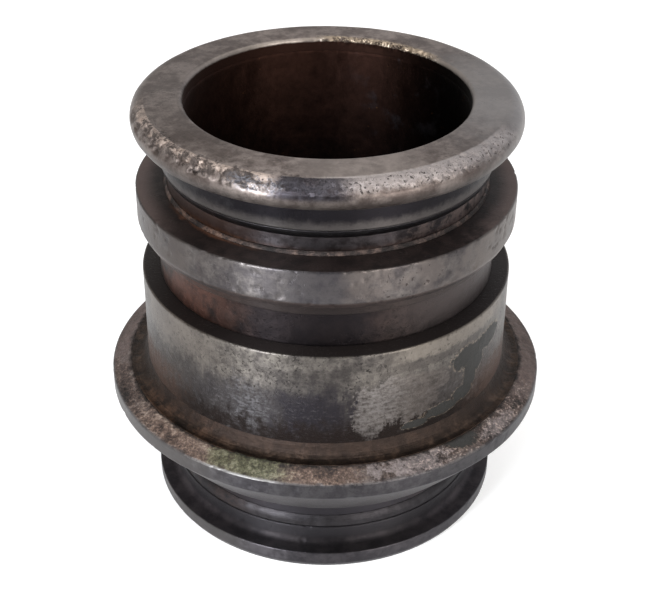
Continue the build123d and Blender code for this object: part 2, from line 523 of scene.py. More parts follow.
# %% Finish the lip
steel = Finish("lip_steel_worn")
colour, roughness, relief = old_steel(
    steel, tint(136, 126, 121), tint(98, 88, 84), cloud=11, seed=1, marks=0.01, pores=0.3, spread=0.7
)
ragged = steel.noise(2.6, detail=8, rough=0.74, seed=12)
tearing = ragged - 0.5
chunk = steel.noise(5.5, detail=5, rough=0.62, seed=17)
speck = steel.noise(0.75, detail=3, rough=0.6, seed=14)
smudge = steel.noise(5, detail=7, rough=0.72, seed=11)
edge = steel.read("edge")
soiled = steel.arc(-108, -22, 12) * steel.step(smudge + tearing * 0.4, 0.53, 0.64)
colour = steel.blend(colour, tint(72, 63, 58), soiled * 0.75)
# Painted reflection: the lip's top is lighter and cooler at the back right, where it mirrors the bright
# room.
back_right_reflection = steel.arc(60, 125, 20, (smudge - 0.5) * 30)
colour = steel.blend(colour, tint(154, 151, 150), back_right_reflection * 0.6)
top_front = steel.arc(-8, 30, 8, (smudge - 0.5) * 20) * 0.4 * steel.step(edge, 0.93, 0.99)
colour = steel.blend(colour, tint(150, 142, 137), top_front)
hit = steel.read("hit")
worn = steel.read("worn")
nose = steel.step(edge, 0.99, 0.97)
pinkish = steel.arc(-80, -28, 8, tearing * 30) * steel.step(edge + tearing * 0.7, 0.4, 0.75) * nose
colour = steel.blend(colour, tint(194, 178, 169), pinkish * steel.step(ragged, 0.34, 0.56) * 0.85)
ledge = steel.step(hit, 0.02, 0.3) * steel.step(edge + tearing * 1.4, 0.55, 0.78) * nose
ledge = ledge * steel.step(chunk, 0.4, 0.55)
colour = steel.blend(colour, tint(184, 168, 157), ledge * steel.step(ragged, 0.4, 0.54) * 0.75)
under = steel.step(edge + tearing * 2.2, 1.0, 0.75) * steel.step(edge + tearing * 1.6, 0.3, 0.5)
hollow = steel.step(hit, 0.05, 0.4) * under * steel.step(chunk + tearing * 0.5, 0.54, 0.42)
colour = steel.blend(colour, tint(46, 37, 33), hollow * 0.8)
bright = steel.step(worn, 0.1, 0.7) * steel.step(edge + tearing * 0.9, 0.15, 0.6)
colour = steel.blend(colour, tint(182, 174, 172), bright * 0.75)
pock = steel.step(speck + tearing * 0.4, 0.57, 0.65) * steel.step(edge + tearing * 0.8, 0.15, 0.3)
pock = pock * steel.step(edge, 0.99, 0.9) * steel.step(worn + hit * 0.7, 0.05, 0.5)
colour = steel.blend(colour, tint(50, 43, 41), pock * 0.8)
# Painted shade: the front of the nose is dark and bluish, for the dim room towards the camera that it
# mirrors.
nose_front_shade = steel.arc(-14, 6, 4, tearing * 12) * nose * steel.step(edge, -0.2, 0.1)
nose_front_shade_tone = steel.blend(tint(38, 35, 40), tint(68, 66, 73), steel.step(ragged, 0.34, 0.62))
colour = steel.blend(colour, nose_front_shade_tone, nose_front_shade * 0.9)
shine = steel.arc(-27, -13, 2, tearing * 16) * steel.step(edge + tearing, 0.05, 0.3) * nose
shine = shine * steel.step(edge + tearing, 0.85, 0.6) * steel.step(speck, 0.4, 0.56)
colour = steel.blend(colour, tint(176, 182, 196), shine * 0.25)
burr = steel.read("burr")
crumbs = steel.step(steel.noise(1.5, detail=6, rough=0.72, seed=15), 0.38, 0.5)
colour = steel.blend(colour, tint(186, 168, 146), burr * crumbs * 0.75)
colour = steel.blend(colour, tint(72, 60, 50), burr * (1 - crumbs) * 0.7)
# Painted shade: the underside of the nose is darkened.
nose_underside_shade = steel.step(edge + tearing * 0.3, 0.3, -0.3) * nose
colour = steel.shade(colour, 1 - nose_underside_shade * 0.6)
outside = steel.step(steel.radius, bore + 2, bore + 4)
below = steel.step(steel.height, lip_underside + 0.4, lip_underside - 0.6) * outside
# Painted shade under the lip: the skirt is darker just below the lip, and darker again at the front.
shadowed = steel.step(steel.height + tearing * 4, foot_of("lip_ring") + 0.6, foot_of("lip_ring") + 3.4)
skirt_shaded_tone = steel.blend(tint(80, 76, 75), tint(36, 34, 37), shadowed)
skirt_shaded_tone = steel.shade(skirt_shaded_tone, 1 - steel.arc(-30, -8, 8) * 0.45)
colour = steel.blend(colour, skirt_shaded_tone, below)
# Painted shade: the throat is nearly black like the bore, partly as the shade inside it, and browner on the
# far side.
throat = steel.step(steel.height + tearing * 0.8, lip_top - 0.7, lip_top - 1.3) * (1 - outside)
far_side = steel.step(steel.x * 0.8 - steel.y * 0.6 + tearing * 30, 20, -30)
colour = steel.blend(colour, steel.blend(tint(14, 10, 9), tint(56, 38, 32), far_side), throat)
# Painted highlight: a pale line along the rounded edge of the mouth at the back.
mouth_highlight = steel.step(steel.radius, bore + 1.5, bore + 0.6) * (1 - throat) * steel.step(steel.y, 4, 26)
colour = steel.blend(colour, tint(196, 186, 176), mouth_highlight * (1 - burr) * 0.38)
pocked = steel.step(worn + hit, 0.05, 0.5)
lip.data.materials.append(
    steel.wear(
        relief + tearing * pocked * 0.3 - pock * 0.12 + crumbs * burr * 0.2 - hollow * 0.25,
        base_color=colour,
        metallic=1.0 - hollow * 0.4 - soiled * 0.2,
        roughness=roughness - shine * 0.15 + hollow * 0.25 + ledge * 0.15 + throat * 0.3,
        **TURNED,
    )
)

# %% [markdown]
# ## The pipe
# The pipe shows in three places: inside, where it is painted nearly black, partly as the shade
# inside the bore, with a brown bloom near the top, and as two bare necks. Inside, scale has left
# it lumpy.

# %% Turn and finish the pipe
pipe_ends = (foot_of("bore_pipe"), top_of("bore_pipe"))
pipe_piece = plain_ring("bore_pipe_worn", bore, pipe, *pipe_ends, spacing=1.0, sides=360)
dent(pipe_piece, lambda at: (grain(at, 5, 3, seed=8) - 0.2) * np.where(at.radius < pipe - 1, 0.14, 0.02))

metal = Finish("pipe_steel_worn")
inside = metal.step(metal.radius, pipe - 2, pipe - 3)
colour, roughness, relief = old_steel(
    metal, tint(68, 64, 66), tint(46, 42, 43), cloud=6, seed=2, marks=0.02, pores=0.3
)
rust_noise = metal.noise(3.5, detail=6, rough=0.68, seed=21)
neck_foot = top_of("land_ring")
crevice = metal.step(metal.height + (rust_noise - 0.5) * 3, neck_foot + 2.8, neck_foot + 0.4)
crevice = crevice * metal.step(metal.height, neck_foot - 4, neck_foot - 2)
left = metal.arc(-62, -28, 8, (rust_noise - 0.5) * 30)
right_side = metal.step(metal.x, 12, 32) * metal.step(rust_noise, 0.4, 0.6)
colour = metal.blend(colour, tint(138, 122, 117), right_side * 0.7)
colour = metal.blend(colour, tint(94, 74, 67), metal.step(metal.x, -14, -30) * 0.6)
colour = metal.blend(colour, tint(72, 54, 48), crevice * 0.45)
colour = metal.blend(colour, tint(126, 88, 68), crevice * left * 0.7)
below = metal.step(metal.height, foot_of("flange_ring"), foot_of("flange_ring") - 2)
colour = metal.blend(colour, tint(58, 56, 60), below * 0.85)
scale = metal.noise(6, detail=6, rough=0.7, seed=22)
far_side = metal.step(metal.x * 0.8 - metal.y * 0.6 + (scale - 0.5) * 30, 20, -30)
bloom = metal.step(metal.height + (scale - 0.5) * 60, 70, 130) * far_side
# Painted shade: the inner wall is nearly black, partly as the shade inside the bore and partly as dark
# scale.
bore_dark_and_shade = metal.blend(tint(10, 7, 7), tint(54, 36, 30), bloom)
bore_dark_and_shade = metal.shade(bore_dark_and_shade, metal.noise(2.4, detail=6, rough=0.7, seed=24) * 1.2 + 0.4)
flecks = metal.step(metal.noise(2.0, detail=4, rough=0.65, seed=23), 0.67, 0.74)
bore_dark_and_shade = metal.blend(bore_dark_and_shade, tint(120, 84, 52), flecks * metal.step(metal.height, 70, 118) * 0.4)
far_right = metal.step(metal.x, 2, 22) * metal.step(metal.y, 10, 30)
fogged = metal.step(metal.noise(7, detail=4, seed=25), 0.56, 0.7) * far_right
bore_dark_and_shade = metal.blend(bore_dark_and_shade, tint(52, 50, 54), fogged * metal.step(metal.height, 84, 108) * 0.5)
colour = metal.blend(colour, bore_dark_and_shade, inside)
pipe_piece.data.materials.append(
    metal.wear(
        relief + scale * inside * 0.35,
        base_color=colour,
        metallic=1.0,
        roughness=roughness * (1 - inside) + inside * 0.6,
        **TURNED,
    )
)

# %% [markdown]
# ## The land and the groove
# The land takes the clamp, so its wall is rubbed to a satin grey while its level face stays
# dark brown. The groove under it was never rubbed and kept a brown oxide.

# %% Turn the land, its collar and the spacer
land_top = top_of("land_ring")
land_foot = foot_of("land_ring")
land_rim = rim_of("land_ring")
land = turn(
    "land_ring_worn",
    [
        (socket, land_foot),
        (land_rim - land_chamfer_out, land_foot),
        (land_rim, land_foot + land_chamfer_up),
        (land_rim, land_top),
        (socket, land_top),
    ],
    {1: 0.4, 2: 0.5, 3: 0.5},
)
collar_rim = rim_of("land_collar")
collar_foot = foot_of("land_collar")
spacer_ends = (foot_of("groove_spacer"), top_of("groove_spacer"))
collar = plain_ring("land_collar_worn", socket, collar_rim, collar_foot, land_foot, rounds={1: 0.5})
spacer = plain_ring("groove_spacer_worn", socket, rim_of("groove_spacer"), *spacer_ends)


def knocked(at):
    """A slight unevenness, and small knocks on the outer corners where the noise runs high."""
    wall = fade(at.radius, land_rim - 0.9, land_rim - 0.3)
    knocks = fade(grain(at, 3, 3, seed=10, only=wall), 0.4, 0.65)
    return grain(at, 12, 2, seed=9) * 0.05 - 0.05 - 0.2 * wall * knocks


dent(land, knocked)
dent(spacer, lambda at: grain(at, 6, 3, seed=11) * 0.1 - 0.08)
dent(collar, lambda at: grain(at, 6, 3, seed=12) * 0.08 - 0.08)

# %% Finish the land
satin = Finish("land_steel_worn")
colour, roughness, relief = old_steel(
    satin, tint(97, 92, 90), tint(69, 65, 66), cloud=8, seed=3, marks=0.02, pores=0.25, spread=0.55
)
smear = satin.noise(8, detail=6, rough=0.62, seed=31)
paler = satin.arc(8, 66, 6, (smear - 0.5) * 30)
colour = satin.blend(colour, tint(100, 93, 90), paler * satin.step(smear, 0.42, 0.56) * 0.7)
ashen = satin.arc(-80, -38, 8, (smear - 0.5) * 30)
colour = satin.blend(colour, tint(84, 77, 74), ashen * satin.step(smear, 0.38, 0.56) * 0.7)
# Painted highlight: a faint light strip where the key light's upright highlight falls.
colour = satin.blend(colour, tint(128, 126, 128), satin.arc(-27, -9, 5, (smear - 0.5) * 20) * 0.1)
# Painted reflection: the right flank is lighter, where it mirrors the bright room.
colour = satin.blend(colour, tint(112, 105, 100), satin.arc(48, 84, 8) * 0.5)
# Painted shade: the front of the wall is darker, for the dim room towards the camera that it mirrors.
front = satin.arc(-12, 7, 5, (smear - 0.5) * 20)
colour = satin.blend(colour, tint(70, 68, 72), front * 0.6)
nicks = satin.step(satin.noise(1.6, detail=3, rough=0.6, seed=34), 0.63, 0.69) * satin.arc(14, 34, 6)
colour = satin.blend(colour, tint(54, 48, 46), nicks * 0.8)
foot = satin.step(satin.height, land_foot + land_chamfer_up, land_foot + land_chamfer_up - 0.6)
colour = satin.blend(colour, tint(74, 62, 58), foot * 0.7)
level_face = satin.step(satin.radius, land_rim - 0.2, land_rim - 0.7)
mottle = satin.noise(4, detail=6, rough=0.7, seed=32)
brown = satin.blend(tint(28, 21, 20), tint(47, 37, 35), satin.step(mottle, 0.36, 0.64))
crevice = satin.step(satin.radius + (mottle - 0.5) * 5, pipe + 2.2, pipe + 0.4) * satin.arc(-64, -26, 8)
brown = satin.blend(brown, tint(120, 82, 62), crevice * 0.6)
flanks = 1 - satin.arc(-56, 56, 14, (mottle - 0.5) * 40)
flanks = flanks * satin.step(satin.radius, pipe + 2, land_rim - 1)
brown = satin.blend(brown, tint(108, 92, 88), flanks * 0.8)
colour = satin.blend(colour, brown, level_face)
land.data.materials.append(
    satin.wear(
        relief - nicks * 0.1,
        base_color=colour,
        metallic=1.0 - level_face * 0.35,
        roughness=roughness + level_face * 0.14,
        **TURNED,
    )
)

# %% Finish the lower groove
dark = Finish("groove_steel_worn")
colour, roughness, relief = old_steel(
    dark, tint(54, 45, 43), tint(36, 30, 29), cloud=7, seed=4, marks=0.02, pores=0.4
)
stain = dark.noise(5, detail=6, rough=0.65, seed=41)
left_rust = dark.arc(-70, -32, 12, (stain - 0.5) * 40) * dark.step(stain, 0.3, 0.7)
colour = dark.blend(colour, tint(110, 76, 65), left_rust * 0.75)
right_grey = dark.step(dark.x, 12, 34)
colour = dark.blend(colour, tint(88, 81, 80), right_grey * 0.6)
# Painted shade: the front of the groove is darker, for the dim room towards the camera that it mirrors.
front = dark.arc(-26, 16, 6, (stain - 0.5) * 20)
colour = dark.blend(colour, tint(28, 25, 28), front * 0.75)
on_collar = dark.step(dark.height, collar_foot - 0.2, collar_foot + 0.1)
colour = dark.shade(colour, 1 - on_collar * 0.3)
# Painted highlight: a faint light line along the collar's outer edge.
collar_edge_highlight = dark.step(dark.radius, collar_rim - 0.5, collar_rim - 0.1)
colour = dark.blend(colour, tint(70, 62, 59), collar_edge_highlight * 0.3)
dark_steel = dark.wear(
    relief,
    base_color=colour,
    metallic=0.9,
    roughness=roughness + 0.04,
    **TURNED,
)
collar.data.materials.append(dark_steel)
spacer.data.materials.append(dark_steel)

# %% [markdown]
# ## The barrel
# The barrel carries an old coat that has flaked: a smooth dark film with a pale torn edge, a
# lighter worn patch beside it and rust creeping up from the foot. A blue-black stretch at the
# front is painted shade, and the barrel is painted lighter at the top and darker towards the
# foot. Each patch is a few ovals joined together, and the finish tears their edges with noise.

# %% Turn the barrel and chalk out its patches
barrel_rim = rim_of("barrel_sleeve")
barrel_top = top_of("barrel_sleeve")
weld_top = top_of("barrel_weld")
barrel = turn(
    "barrel_sleeve_worn",
    [
        (socket, foot_of("barrel_sleeve")),
        (barrel_rim - weld_prep, foot_of("barrel_sleeve")),
        (barrel_rim - weld_prep, recess_floor),
        (barrel_rim, weld_top),
        (barrel_rim, barrel_top),
        (socket, barrel_top),
    ],
    {4: 0.5},
    spacing=0.45,
)
at = Places(barrel)
# each spot: angle round the ring, height, half width and half height in millimetres
film_spots = [
    (59, 64.2, 6.5, 3.2),
    (48, 63.2, 7.0, 3.8),
    (51, 59.5, 4.6, 3.6),
    (49, 55.5, 3.0, 3.6),
    (46, 52.0, 4.4, 2.6),
    (37, 50.0, 6.0, 2.0),
    (28, 48.4, 4.6, 1.4),
]
pale_spots = [(23, 57.5, 13, 8.5), (13, 55, 5.5, 9), (33, 60.5, 7, 3.8)]
film_area = spots(at, at.height, film_spots)


def barrel_depth(at):
    """Slight unevenness, and the flaking film standing a little proud of the metal."""
    torn = fade(film_area + grain(at, 2.5, 4, seed=15, only=film_area + 1) * 0.6, 0, 0.15)
    return grain(at, 14, 2, seed=13) * 0.05 - 0.12 + 0.1 * torn


dent(barrel, barrel_depth)
mark(barrel, "film", film_area)
mark(barrel, "pale", spots(at, at.height, pale_spots))
print("barrel:", len(barrel.data.polygons), "faces")

# %% Finish the barrel
rubbed = Finish("barrel_steel_worn")
colour, roughness, relief = old_steel(
    rubbed, tint(108, 103, 98), tint(75, 71, 69), cloud=7, seed=5, marks=0.02, pores=0.6, spread=0.8
)
tear = rubbed.noise(2.8, detail=9, rough=0.76, seed=51) - 0.5
broad = rubbed.noise(9, detail=4, rough=0.6, seed=54) - 0.5
streak = rubbed.noise(0.9, detail=6, rough=0.74, seed=52)
wipe = rubbed.wipes(0.8, stretch=3, seed=55) * 0.6 + streak * 0.4
runs = rubbed.drips(2.4, stretch=5, seed=53) - 0.5
# Painted light: the top of the barrel is lighter on the right.
top_band_light = rubbed.step(rubbed.height + tear * 6, barrel_top - 5.5, barrel_top - 3.5) * rubbed.arc(22, 66, 8)
colour = rubbed.blend(colour, tint(136, 128, 119), top_band_light * 0.6)
# Painted light: the upper left of the barrel is lighter.
upper_left_light = rubbed.arc(-70, -34, 10, tear * 30) * rubbed.step(rubbed.height + tear * 10, 60, 68)
colour = rubbed.blend(colour, tint(130, 122, 115), upper_left_light * 0.45)
# Painted shade: the barrel darkens towards the flange, in patches.
low = rubbed.step(rubbed.height + tear * 16 + runs * 18 + broad * 14, 66, 56)
colour = rubbed.blend(colour, tint(62, 58, 57), low * 0.8)
# Painted shade: a blue-black band at the front, for the dim room towards the camera that the barrel
# mirrors.
front_shade_band = rubbed.arc(-13, 7, 6, tear * 18 + runs * 24)
front_shade_band = front_shade_band * rubbed.step(rubbed.height + broad * 16 + tear * 10, 71, 60)
# Darker low on the left of the front.
left_darker = rubbed.arc(-46, -10, 10, broad * 40) * rubbed.step(rubbed.height + runs * 16, 66, 58)
colour = rubbed.blend(colour, tint(62, 60, 63), left_darker * 0.5)
colour = rubbed.blend(colour, tint(44, 42, 48), front_shade_band * 0.8)
smear = rubbed.arc(16, 54, 6, tear * 30) * rubbed.step(rubbed.height + tear * 4, 66.0, 66.8)
smear = smear * rubbed.step(rubbed.height + tear * 4, 69.6, 68.6)
colour = rubbed.blend(colour, tint(80, 75, 72), smear * 0.6)
pale = rubbed.step(rubbed.read("pale") + tear * 2.6 + runs * 1.2, 0.02, 0.2)
pale_tone = rubbed.blend(tint(68, 63, 60), tint(103, 96, 92), rubbed.step(wipe + tear * 0.5, 0.32, 0.68))
colour = rubbed.blend(colour, pale_tone, pale * 0.75)
lit_edge = rubbed.arc(6, 22, 8, tear * 14) * pale * rubbed.step(wipe + tear * 0.3, 0.36, 0.64)
colour = rubbed.blend(colour, tint(152, 148, 147), lit_edge * 0.45)
rust_line = rubbed.height + tear * 18 + runs * 10 + pale * 3
rust = rubbed.step(rust_line, 54.5, 48.5)
colour = rubbed.blend(colour, rubbed.blend(tint(16, 13, 12), tint(42, 32, 28), streak), rust * 0.92)
sides = 1 - rubbed.arc(-52, 52, 12, tear * 30)
side_rust = sides * rubbed.step(rubbed.height + tear * 24, 60, 50)
colour = rubbed.blend(colour, tint(104, 83, 73), side_rust * 0.6)
grit = rubbed.step(wipe + tear * 0.3, 0.52, 0.62)
sheen = rubbed.arc(-29, -17, 5, tear * 24) * low * rubbed.step(wipe + tear * 0.4, 0.44, 0.6)
colour = rubbed.blend(colour, tint(118, 118, 122), sheen * (1 - rust * 0.7) * 0.42)
colour = rubbed.blend(colour, tint(100, 97, 98), grit * low * (1 - rust * 0.7) * 0.45)
specks = rubbed.step(streak + tear * 0.3, 0.44, 0.37) * (1 - pale * 0.9)
colour = rubbed.blend(colour, tint(46, 42, 42), specks * 0.55)
film_field = rubbed.read("film") + tear * 2.6 + (streak - 0.5) * 0.7
torn = rubbed.step(film_field, -0.2, -0.02) * rubbed.step(film_field, 0.24, 0.1)
colour = rubbed.blend(colour, tint(138, 126, 113), torn * rubbed.step(streak, 0.42, 0.58) * 0.7)
film = rubbed.step(film_field, 0.1, 0.14)
colour = rubbed.blend(colour, tint(41, 40, 38), film)
level_face = rubbed.step(rubbed.radius, barrel_rim - 0.3, barrel_rim - 0.8)
colour = rubbed.blend(colour, tint(44, 38, 37), level_face)
dirt = rubbed.step(rust + side_rust, 0, 1)
barrel.data.materials.append(
    rubbed.wear(
        relief + streak * low * 0.12 + film * 0.08 + dirt * tear * 0.4,
        base_color=colour,
        metallic=1.0 - film * 0.5 - dirt * 0.12 - level_face * 0.2,
        roughness=roughness + dirt * 0.14 + film * 0.12 + level_face * 0.1 - lit_edge * 0.06,
        **TURNED,
    )
)

# %% [markdown]
# ## The flange ring
# This ring was left outdoors. Its sloping top is crusted pink-brown, with pale chips and a
# flake of dark coat on the right and a patch of moss left of the front, while its rim was kept
# smooth by handling. The crust is lumpy in the mesh itself, because its edge shows against the
# rim.

# %% Turn the flange ring
counterbore = barrel_rim - weld_prep + slip
flange = turn(
    "flange_ring_worn",
    [
        (socket, foot_of("flange_ring")),
        (cone_foot_radius, foot_of("flange_ring")),
        (flange_rim, rim_bottom),
        (flange_rim, rim_top),
        (crown_edge, rim_top + crown_rise),
        (crown_edge, recess_floor),
        (counterbore, recess_floor),
        (counterbore, foot_of("barrel_sleeve")),
        (socket, foot_of("barrel_sleeve")),
    ],
    {1: 0.3, 2: 0.25, 3: 0.35, 4: 1.6, 5: 0.5},
    spacing=0.6,
)
at = Places(flange)
# on the crown a spot's level is a radius
crown_middle = flange_rim - crown_width / 2
moss_spots = [
    (-19, crown_middle, 10, 6),
    (-27, crown_middle, 5, 3.4),
    (-38, crown_edge - 2.6, 7, 1.6),
    (-16, crown_edge - 1.6, 8, 1.2),
]
chip_spots = [(13, crown_middle, 2.4, 4), (25, crown_middle, 11, 4), (52, crown_middle + 1, 9, 2.4)]
flake_spots = [(41, crown_middle - 0.8, 4, 2.2), (36.5, crown_middle - 2, 2.6, 1.6)]
moss_area = spots(at, at.radius, moss_spots)
mossy = fade(moss_area, -0.2, 0.5)


def flange_depth(at):
    """Crust on the crown, a few knocks on the rim, the cone left as it was cut."""
    crown = fade(at.height, rim_top - 0.3, rim_top + 0.6)
    crown = crown * fade(at.radius, crown_edge - 0.3, crown_edge + 0.4)
    crown = crown * (1 - fade(at.radius, flange_rim - 0.9, flange_rim - 0.2))
    move = grain(at, 15, 2, seed=16) * 0.06 - 0.06
    move += crown * (0.22 * grain(at, 2.0, 4, seed=17, only=crown) - 0.08)
    move += crown * mossy * (0.2 + 0.2 * grain(at, 0.9, 2, seed=18, only=crown * mossy))
    rim = fade(at.radius, flange_rim - 1.2, flange_rim - 0.6)
    return move - 0.16 * rim * fade(grain(at, 4, 3, seed=19, only=rim), 0.42, 0.7)


dent(flange, flange_depth)
mark(flange, "moss", moss_area)
mark(flange, "chips", spots(at, at.radius, chip_spots))
mark(flange, "flake", spots(at, at.radius, flake_spots))

# %% Finish the flange ring
crust = Finish("flange_steel_worn")
colour, roughness, relief = old_steel(
    crust, tint(74, 72, 74), tint(57, 55, 58), cloud=10, seed=6, marks=0.02, pores=0.2, spread=0.35
)
# Painted light: the rim is lighter on the left.
colour = crust.blend(colour, tint(116, 112, 110), crust.arc(-76, -30, 10) * 0.42)
lumps = crust.noise(2.4, detail=9, rough=0.76, seed=61)
uneven = lumps - 0.5
clouds = crust.noise(8, detail=6, rough=0.65, seed=62) - 0.5
fine = crust.noise(0.7, detail=5, rough=0.72, seed=63) - 0.5
mottled = lumps + fine * 0.7 + clouds * 0.8
rust_row = [
    (0.30, 30, 24, 23),
    (0.40, 54, 44, 40),
    (0.50, 84, 70, 64),
    (0.60, 112, 96, 88),
    (0.72, 162, 148, 138),
]
old_rust = crust.ramp(mottled, rust_row)
greyed = crust.step(clouds + uneven * 0.5, 0.0, 0.12)
old_rust = crust.blend(old_rust, crust.shade(tint(80, 75, 75), mottled * 1.2 + 0.4), greyed * 0.6)
pinkish = crust.arc(-56, -26, 8, uneven * 40) + crust.arc(-10, 8, 4, uneven * 30)
pink_row = [(0.3, 46, 36, 32), (0.45, 92, 74, 65), (0.58, 136, 113, 99), (0.7, 182, 162, 146)]
old_rust = crust.blend(old_rust, crust.ramp(mottled, pink_row), pinkish * 0.65)
sides = 1 - crust.arc(-82, 66, 10, uneven * 50)
old_rust = crust.blend(old_rust, crust.shade(tint(106, 91, 87), mottled + 0.5), sides * 0.7)
old_rust = crust.shade(old_rust, 0.86)
chips = crust.step(crust.read("chips") + uneven * 5 + fine * 2.4, 0.0, 0.8)
old_rust = crust.blend(old_rust, crust.shade(tint(126, 117, 116), mottled * 1.8 + 0.1), chips * 0.65)
crumbs = crust.step(fine + uneven * 0.6, 0.06, 0.13) * crust.arc(22, 72, 6)
old_rust = crust.blend(old_rust, tint(184, 166, 156), crumbs * 0.7)
moss_field = crust.read("moss") + uneven * 4.0 + fine * 2.4
moss_row = [(0.32, 27, 27, 21), (0.45, 54, 56, 37), (0.58, 90, 92, 65), (0.72, 142, 140, 116)]
green = crust.ramp(mottled, moss_row)
moss = crust.step(moss_field, -0.6, 1.0)
old_rust = crust.blend(old_rust, green, moss * 0.75)
flake_field = crust.read("flake") + uneven * 5 + fine * 1.6
flake_edge = crust.step(flake_field, -0.3, 0.0) * crust.step(flake_field, 0.4, 0.1)
old_rust = crust.blend(old_rust, tint(140, 127, 114), flake_edge * crust.step(fine, -0.06, 0.1) * 0.7)
flake = crust.step(flake_field, 0.1, 0.2)
old_rust = crust.blend(old_rust, tint(44, 43, 41), flake)
crown = crust.step(crust.height, rim_top - 0.15, rim_top + 0.25)
recess = crust.step(crust.radius + uneven * 4, crown_edge + 2.0, crown_edge + 0.3) * crown
mud = crust.ramp(mottled, [(0.3, 17, 13, 12), (0.5, 32, 25, 22), (0.7, 60, 48, 41)])
mud = crust.blend(mud, green, moss * 0.5)
outer = crust.blend(colour, old_rust, crown)
outer = crust.blend(outer, mud, recess)
top_corner = crust.step(crust.height, rim_top - 0.5, rim_top - 0.2)
top_corner = top_corner * crust.step(crust.height, rim_top + 0.3, rim_top)
outer = crust.blend(outer, tint(104, 100, 99), top_corner * crust.step(mottled, 0.44, 0.56) * 0.6)
glint = top_corner * crust.arc(-33, -12, 5, uneven * 30)
outer = crust.blend(outer, tint(190, 188, 186), glint * 0.35)
cone = crust.step(crust.height, rim_bottom + 0.1, rim_bottom - 0.5)
outer = crust.blend(outer, tint(92, 89, 90), cone * 0.5)
crusty = crown * (1 - flake * 0.5)
flange.data.materials.append(
    crust.wear(
        relief + crusty * (lumps * 0.7 + fine * 0.35) + moss * fine * crown * 0.4,
        base_color=outer,
        metallic=1.0 - crown * 0.74,
        roughness=roughness + crusty * (fine * 0.2 + 0.2),
        **TURNED,
    )
)

# %% [markdown]
# ## The bottom flange
# The bottom flange sits in the shade of the collar and has kept its black mill scale on top.
# Only the rim shows bare grey steel. The top is painted lighter at the sides and the back, and
# the rim lighter on the left.

# %% Turn and finish the bottom flange
plate_rim = rim_of("bottom_flange")
plate = turn(
    "bottom_flange_worn",
    [
        (socket, 0),
        (plate_rim - 1.1, 0),
        (plate_rim, 1.6),
        (plate_rim, bottom_plate),
        (hub, bottom_plate),
        (hub, top_of("bottom_flange")),
        (socket, top_of("bottom_flange")),
    ],
    {2: 0.3, 3: 0.3, 4: 1.6, 5: 0.4},
)


def plate_depth(at):
    """Light knocks on the rim. The bottom face stays flat, because it stands on the floor."""
    move = grain(at, 10, 2, seed=20) * 0.05 - 0.05 - 0.12 * fade(grain(at, 3, 3, seed=21), 0.42, 0.7)
    return move * fade(at.height, 0.05, 0.6)


dent(plate, plate_depth)

black = Finish("bottom_steel_worn")
colour, roughness, relief = old_steel(
    black, tint(75, 72, 75), tint(57, 55, 58), cloud=9, seed=7, marks=0.02, pores=0.2, spread=0.35
)
# Painted light: the rim is lighter on the left.
colour = black.blend(colour, tint(106, 103, 102), black.arc(-70, -28, 8) * 0.45)
scaly = black.noise(6, detail=6, rough=0.68, seed=71)
mill_scale_and_light = black.blend(tint(36, 33, 36), tint(54, 50, 52), black.step(scaly, 0.36, 0.64))
# The top face is black mill scale with painted light: lighter at the sides and at the back.
mill_scale_and_light = black.shade(mill_scale_and_light, 0.84 + black.step(black.x * black.x, 400, 1500) * 1.05)
mill_scale_and_light = black.blend(mill_scale_and_light, tint(82, 76, 76), black.step(black.y, 4, 34) * 0.7)
top_face = black.step(black.radius, plate_rim - 0.1, plate_rim - 0.5)
top_face = top_face * black.step(black.height, bottom_plate - 0.6, bottom_plate - 0.2)
colour = black.blend(colour, mill_scale_and_light, top_face)
hub_wall = black.step(black.radius, hub + 1.2, hub + 0.2)
hub_wall = hub_wall * black.step(black.height, bottom_plate + 0.8, bottom_plate + 2.4)
colour = black.blend(colour, tint(50, 48, 51), hub_wall * 0.8)
plate.data.materials.append(
    black.wear(
        relief,
        base_color=colour,
        metallic=1.0 - top_face * 0.2,
        roughness=roughness + top_face * 0.1,
        **TURNED,
    )
)

# %% [markdown]
# ## The weld beads
# A bead is laid in overlapping puddles, so it has ripples every few millimetres. They are part
# of the mesh, and all but the hidden bead at the pipe's end were dressed nearly smooth. Most
# beads are plain dark metal. The one at the barrel's foot is brown and darker beside the wall,
# the one on the land is chalky, and both have some orange rust left of the front.

# %% Lay the beads
bead_pieces = {
    "lip_weld": bead("lip_weld_worn", (pipe, foot_of("lip_ring")), 1.55, -2.6),
    "land_weld": bead("land_weld_worn", (pipe, land_top), 0.9, 1.2),
    "cone_weld": bead("cone_weld_worn", (pipe, foot_of("flange_ring")), 2.6, -2.4),
    "hub_weld": bead("hub_weld_worn", (pipe, top_of("bottom_flange")), 1.4, 3.2),
    "root_weld": bead("root_weld_worn", (socket, foot_of("bore_pipe")), -3.4, -1.9),
    "barrel_weld": turn(
        "barrel_weld_worn",
        [
            (barrel_rim - weld_prep, recess_floor),
            (crown_edge + 0.5, recess_floor),
            (crown_edge + 0.5, rim_top + crown_rise - 0.6),
            (barrel_rim + 1.8, recess_floor + 1.2),
            (barrel_rim - 0.2, weld_top + 1.4),
        ],
        {3: 2.2},
        spacing=0.4,
    ),
}


PUDDLES_ROUND = 75.6
DRESSED = 0.3


def ripples(at):
    """The overlapping puddles of a hand-laid bead, about 4 mm apart."""
    wander = 54 * grain(at, 14, 2, seed=22)
    phase = at.angle * PUDDLES_ROUND + wander
    return 0.05 * np.cos(np.radians(phase)) + 0.1 * grain(at, 2.2, 3, seed=23) - 0.12


